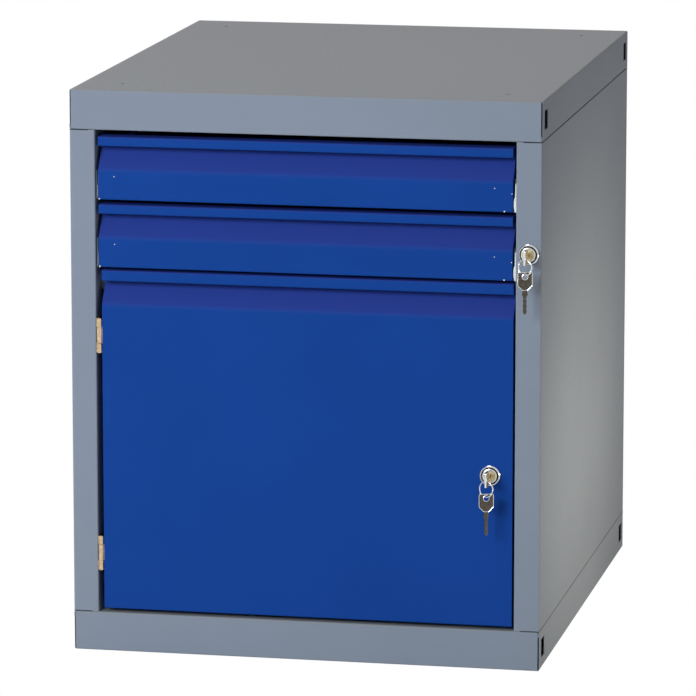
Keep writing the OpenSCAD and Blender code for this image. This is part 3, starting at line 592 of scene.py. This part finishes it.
# %% A dome
def add_dome(shape, radius, rise, place):
    """Adds a low dome on its own flat foot, its sizes in millimetres, at a place."""
    profile = [(0, rise), (radius * 0.5, rise * 0.85), (radius * 0.85, rise * 0.45), (radius, -0.1),
               (0, -0.1)]
    fresh = spun(bmesh.new(), profile, 12)
    bmesh.ops.remove_doubles(fresh, verts=fresh.verts, dist=0.0001 * MM)
    bmesh.ops.transform(fresh, matrix=place, verts=fresh.verts)
    mesh = bpy.data.meshes.new("dome")
    fresh.to_mesh(mesh)
    fresh.free()
    shape.from_mesh(mesh)
    bpy.data.meshes.remove(mesh)


weld_radius, weld_rise = 0.65, 0.35
painted_glint_radius, painted_glint_rise = 0.95, 0.6
print("pips:", 2 * weld_radius, "mm and", 2 * painted_glint_radius, "mm wide")

# %% Pips
for number in ("1", "2"):
    low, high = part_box("drawer_" + number + "_front")
    # Each pip's place across the front, and its height above the front's foot in millimetres.
    weld_places = ((low.x + 17 * MM, 24.7), (high.x - 19 * MM, 24.7), (high.x - 0.9 * MM, 19.5))
    # The white pips at the lower corners are painted highlights.
    painted_glint_places = ((low.x + 1.0 * MM, 0.9), (high.x - 8.6 * MM, 0.9))
    pips = bmesh.new()
    for x, up in weld_places:
        add_dome(pips, weld_radius, weld_rise,
                 Matrix.Translation((x, low.y, low.z + up * MM)) @ face_on)
    piece("drawer_" + number + "_weld_pips", pips, "drawer_" + number, [nickel_plate])
    painted_glints = bmesh.new()
    for x, up in painted_glint_places:
        add_dome(painted_glints, painted_glint_radius, painted_glint_rise,
                 Matrix.Translation((x, low.y, low.z + up * MM)) @ face_on)
    piece("drawer_" + number + "_painted_glint_pips", painted_glints, "drawer_" + number, [nylon])

# %% [markdown]
# ## Runner noses
# The front end of each cabinet runner carries a white plastic nose. It fills the gap beside the drawer
# front and guides the drawer straight as it closes. Its edge swells low down, where the drawer rubs
# it, and is thin above. The left noses are slimmer and sit deeper, because the left runners are the
# plain ones of the pair. One edge is extruded upwards from station to station, each scaled to the
# nose's width there, and the strip is then given its depth.

# %% Noses
# Each pair is a height above the drawer front's foot and the nose's width there, in millimetres.
nose_stations = [(0.0, 1.2), (2.0, 2.1), (5.0, 2.7), (11.0, 2.7), (14.0, 2.2), (16.0, 1.3), (30.0, 0.9)]
nose_depth = 11 * MM
# For each side: its direction in x, how much of that width it has, and how far it sits behind the front.
nose_sides = ((-1, 0.5, 6.0 * MM), (1, 1.0, 1.6 * MM))
# A nose starts this far inside the runner's outer face.
wall_gap = 0.15 * MM
noses = bmesh.new()
for number in ("1", "2"):
    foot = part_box("drawer_" + number + "_front")[0].z
    for side, share, behind in nose_sides:
        wall = side * (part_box("drawer_1_cabinet_runners")[1].x - wall_gap)
        first = [noses.verts.new((wall - side * x * share * MM, front + behind, foot))
                 for x in (0, nose_stations[0][1])]
        faces = strip(noses, first, nose_stations, along=(0, 0, 1),
                      space=Matrix.Translation((-wall, 0, 0)))
        grown = bmesh.ops.extrude_face_region(noses, geom=faces)["geom"]
        bmesh.ops.translate(noses, vec=(0, nose_depth, 0), verts=only(VERT, grown))
piece("runner_noses", noses, "cabinet", [nylon])

# %% [markdown]
# ## Tack welds
# The pans are folded from one sheet each, and their corner seams are closed by a short tack weld at
# the open end. The powder coat runs over the weld. Three low domes in a row, each overlapping the
# next, give the ripples that the arc leaves.

# %% Tacks
tack_radius, tack_rise = 1.1, 0.45
# The first dome's distance from the seam's open end, and from one dome to the next, in millimetres.
tack_start, tack_step = 2.5, 1.3
# A tack's middle lies this far inside the faces of the corner.
tack_in = 0.5 * MM
tacks = bmesh.new()
for open_end, inward in ((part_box("top_pan")[0].z, 1), (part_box("bottom_pan")[1].z, -1)):
    for side in (-1, 1):
        outward = Matrix.Rotation(math.radians(45 * side), 4, "Z") @ face_on
        for ripple in range(3):
            spot = (side * (half_width - tack_in), front + tack_in,
                    open_end + inward * (tack_start + tack_step * ripple) * MM)
            add_dome(tacks, tack_radius, tack_rise, Matrix.Translation(spot) @ outward)
piece("corner_tacks", tacks, "cabinet", [grey_powder_coat])

# %% [markdown]
# ## Corner plates
# A triangular plate is welded into each corner of the bottom pan. It can take the screw of a levelling
# foot, and its upturned edge stiffens the corner. One triangle has its long edge extruded upwards and
# is then given its thickness. The other three are its mirror images.

# %% Plates under the bottom pan
def repeat_in_corners(shape):
    """Adds the shape's mirror images in x, in y and in both."""
    master = bpy.data.meshes.new("master")
    shape.to_mesh(master)
    for x_sign, y_sign in ((-1, 1), (1, -1), (-1, -1)):
        start = len(shape.verts)
        shape.from_mesh(master)
        shape.verts.ensure_lookup_table()
        bmesh.ops.scale(shape, vec=(x_sign, y_sign, 1), verts=shape.verts[start:])
    bpy.data.meshes.remove(master)


plate_leg, plate_up, plate_thick, plate_foot = 110 * MM, 33 * MM, 1.5 * MM, 3 * MM
# How far the plates stay inside the pan's sides, and inside its front and back.
clear_side, clear_end = 3 * MM, 4 * MM
half_depth = (back - front) / 2
inner_x, inner_y = half_width - clear_side, half_depth - clear_end
plates = bmesh.new()
corner = plates.verts.new((inner_x, inner_y, plate_foot))
ends = [plates.verts.new((inner_x - plate_leg, inner_y, plate_foot)),
        plates.verts.new((inner_x, inner_y - plate_leg, plate_foot))]
plates.faces.new([corner] + ends)
diagonal = [edge for edge in plates.edges if corner not in edge.verts]
upturned = bmesh.ops.extrude_edge_only(plates, edges=diagonal)["geom"]
bmesh.ops.translate(plates, vec=(0, 0, plate_up), verts=only(VERT, upturned))
bmesh.ops.recalc_face_normals(plates, faces=plates.faces)
bmesh.ops.solidify(plates, geom=plates.faces[:], thickness=plate_thick)
repeat_in_corners(plates)
piece("corner_plates", plates, "cabinet", [grey_powder_coat],
      Matrix.Translation((0, (front + back) / 2, 0)))

# %% [markdown]
# ## Joints
# The panels stand between the pans, and each joint is a dark line less than a millimetre wide, shade
# in a narrow gap. A dark grey thread lies in it: painted shade. Where a pan's skirts meet at a corner,
# the seam is a dark upright line, so a black bar of painted shade stands just behind the faces there.
# Each thread or bar is one square, stretched to its length, and extruded so that it has sides.

# %% A thin bar
def add_bar(shape, x_range, y_range, z_range):
    """Adds a thin bar between two values on each axis, and returns its faces."""
    fresh = bmesh.ops.create_grid(shape, x_segments=1, y_segments=1, size=0.5)["verts"]
    foot = list({face for vert in fresh for face in vert.link_faces})
    lifted = only(VERT, bmesh.ops.extrude_face_region(shape, geom=foot)["geom"])
    bmesh.ops.translate(shape, vec=(0, 0, 1), verts=lifted)
    scale = [high - low for low, high in (x_range, y_range, z_range)]
    centre = [(x_range[0] + x_range[1]) / 2, (y_range[0] + y_range[1]) / 2, z_range[0]]
    bmesh.ops.scale(shape, vec=scale, verts=fresh + lifted)
    bmesh.ops.translate(shape, vec=centre, verts=fresh + lifted)
    return {face for vert in fresh + lifted for face in vert.link_faces}


# The painted shade stands this far out of its joint.
proud = 0.04 * MM
print("sealant stands", round(proud / MM, 2), "mm out")

# %% Painted shade in the joints
joint_depth = 0.4 * MM
# A side's thread ends this far from the cabinet's front and back.
side_end = 0.8 * MM
# A post's thread runs between these two distances from the cabinet's side.
post_from, post_to = 0.9 * MM, 20 * MM
# For each joint: its height, and how far the painted shade reaches below and above it in millimetres.
pan_edges = ((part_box("bottom_pan")[1].z, 0.1, 0.8), (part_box("top_pan")[0].z, 0.7, 0.1))
threads = bmesh.new()
for edge_z, below, above in pan_edges:
    z_range = (edge_z - below * MM, edge_z + above * MM)
    for side in (-1, 1):
        side_range = sorted((side * (half_width + proud), side * (half_width - joint_depth)))
        add_bar(threads, side_range, (front + side_end, back - side_end), z_range)
        post_range = sorted((side * (half_width - post_from), side * (half_width - post_to)))
        add_bar(threads, post_range, (front - proud, front + joint_depth), z_range)
print("joints sealed:", len(pan_edges), "on each side")

# %% Bars in the corner seams
# A bar lies between these two depths behind the faces, and stops short of the pan's foot and top.
seam_depths = (0.7 * MM, 1.55 * MM)
above_foot, below_top = 1.5 * MM, 1.8 * MM
for low, high in (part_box("bottom_pan"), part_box("top_pan")):
    for side in (-1, 1):
        for end, inward in ((front, 1), (back, -1)):
            seam = add_bar(threads, sorted(side * (half_width - depth) for depth in seam_depths),
                           sorted(end + inward * depth for depth in seam_depths),
                           (low.z + above_foot, high.z - below_top))
            # These faces take the black: painted shade in the seam.
            for face in seam:
                face.material_index = 1
piece("joint_painted_shade", threads, "cabinet", [joint_painted_shade, painted_black_shade_and_reflection])

# %% [markdown]
# ## Floor and backdrop
# The photograph is cut out on pure white. A wide floor of warm white paper gives the cabinet its light
# from below, with the cabinet's own soft shadow in it. Light Path tells the rays apart: what the
# camera sees directly, in a mirror or through glass is plain white, and what lights the cabinet keeps
# the floor's shade.

# %% Floor
def is_seen(tree):
    """1 for a ray from the camera, from a mirror or through glass."""
    path = add(tree, "ShaderNodeLightPath")
    first = add(tree, "ShaderNodeMath",
                {0: path.outputs["Is Camera Ray"], 1: path.outputs["Is Glossy Ray"]},
                operation="MAXIMUM")
    return add(tree, "ShaderNodeMath",
               {0: first.outputs[0], 1: path.outputs["Is Transmission Ray"]},
               operation="MAXIMUM").outputs[0]


floor_material, tree, place = start_material("floor, white paper")
paper_grain = add(tree, "ShaderNodeTexNoise", {"Vector": place, "Scale": every(2), "Detail": 2})
paper_tint = add(tree, "ShaderNodeMix",
                 {0: paper_grain.outputs["Fac"], 6: colour("dcd6cb"), 7: colour("d8d2c7")},
                 data_type="RGBA")
paper = add(tree, "ShaderNodeBsdfPrincipled", {"Base Color": paper_tint.outputs[2], "Roughness": 0.9})
white = add(tree, "ShaderNodeEmission", {"Color": (1, 1, 1, 1), "Strength": 1.0})
choice = add(tree, "ShaderNodeMixShader", {0: is_seen(tree), 1: paper.outputs[0], 2: white.outputs[0]})
add(tree, "ShaderNodeOutputMaterial", {"Surface": choice.outputs[0]})

floor_half = 6
shape = bmesh.new()
bmesh.ops.create_grid(shape, x_segments=1, y_segments=1, size=floor_half)
floor_mesh = bpy.data.meshes.new("floor")
shape.to_mesh(floor_mesh)
shape.free()
floor_mesh.materials.append(floor_material)
floor = bpy.data.objects.new("floor", floor_mesh)
floor.location.z = -0.5 * MM
scene.collection.objects.link(floor)
print("floor,", 2 * floor_half, "m square")

# %% [markdown]
# ## Light
# The front is the brightest face. A large soft lamp with a daylight tint stands in front of it, a
# little to the left, so the right-hand side gets none of its light. That side is dark under the top
# and brightens towards the foot, so its own lamp is warm, weak, low and near. A weaker lamp hangs
# over the top. Two more light the left side and the back, which the photograph doesn't show. They
# stand lower than the top, so it gets none of their light. The world fills the rest. None of it is
# stronger than a colour needs to render about as it is written.

# %% Lamps
def lamp(name, place, aim, extent, watts, tint=(1, 1, 1)):
    """A soft rectangular lamp at a place, turned to its aim. The camera doesn't see the lamp itself."""
    data = bpy.data.lights.new(name, "AREA")
    data.shape = "RECTANGLE"
    data.size, data.size_y = extent
    data.energy = watts
    data.color = tint
    item = bpy.data.objects.new(name, data)
    item.location = place
    item.rotation_euler = (Vector(aim) - Vector(place)).to_track_quat("-Z", "Y").to_euler()
    item.visible_camera = False
    scene.collection.objects.link(item)
    print("lamp:", name, watts, "W")
    return item


daylight, warm, pale_blue = (0.79, 0.89, 0.99), (1.0, 0.89, 0.68), (0.94, 0.965, 1.0)
# Each lamp: its name, its place, its aim, its width and height, its power and its tint.
lamp("front_lamp", (-1.3, -3.3, 1.6), (0, 0, 0.3), (1.6, 1.2), 94, daylight)
side_lamp = lamp("side_lamp", (0.95, -0.12, 0.26), (0.25, -0.02, 0.18), (0.5, 0.15), 0.66, warm)
side_lamp.data.spread = math.radians(68)
lamp("top_lamp", (-0.6, 0.2, 3.0), (0, 0, 0.5), (1.4, 1.4), 26, pale_blue)
lamp("left_lamp", (-3.4, 0.3, 0.32), (0, 0.1, 0.3), (1.1, 0.5), 34)
lamp("back_lamp", (-0.35, 3.2, 0.32), (-0.05, 0.3, 0.3), (1.1, 0.5), 42)

# %% World
world_tint, world_strength = (1.0, 0.955, 0.91, 1), 0.255
world = bpy.data.worlds.new("world")
scene.world = world
world.use_nodes = True
tree = world.node_tree
tree.nodes.clear()
fill = add(tree, "ShaderNodeBackground", {"Color": world_tint, "Strength": world_strength})
bright = add(tree, "ShaderNodeBackground", {"Color": (1, 1, 1, 1), "Strength": 1.0})
choice = add(tree, "ShaderNodeMixShader", {0: is_seen(tree), 1: fill.outputs[0], 2: bright.outputs[0]})
add(tree, "ShaderNodeOutputWorld", {"Surface": choice.outputs[0]})
scene.view_settings.view_transform = "Standard"
print("world strength", world_strength)
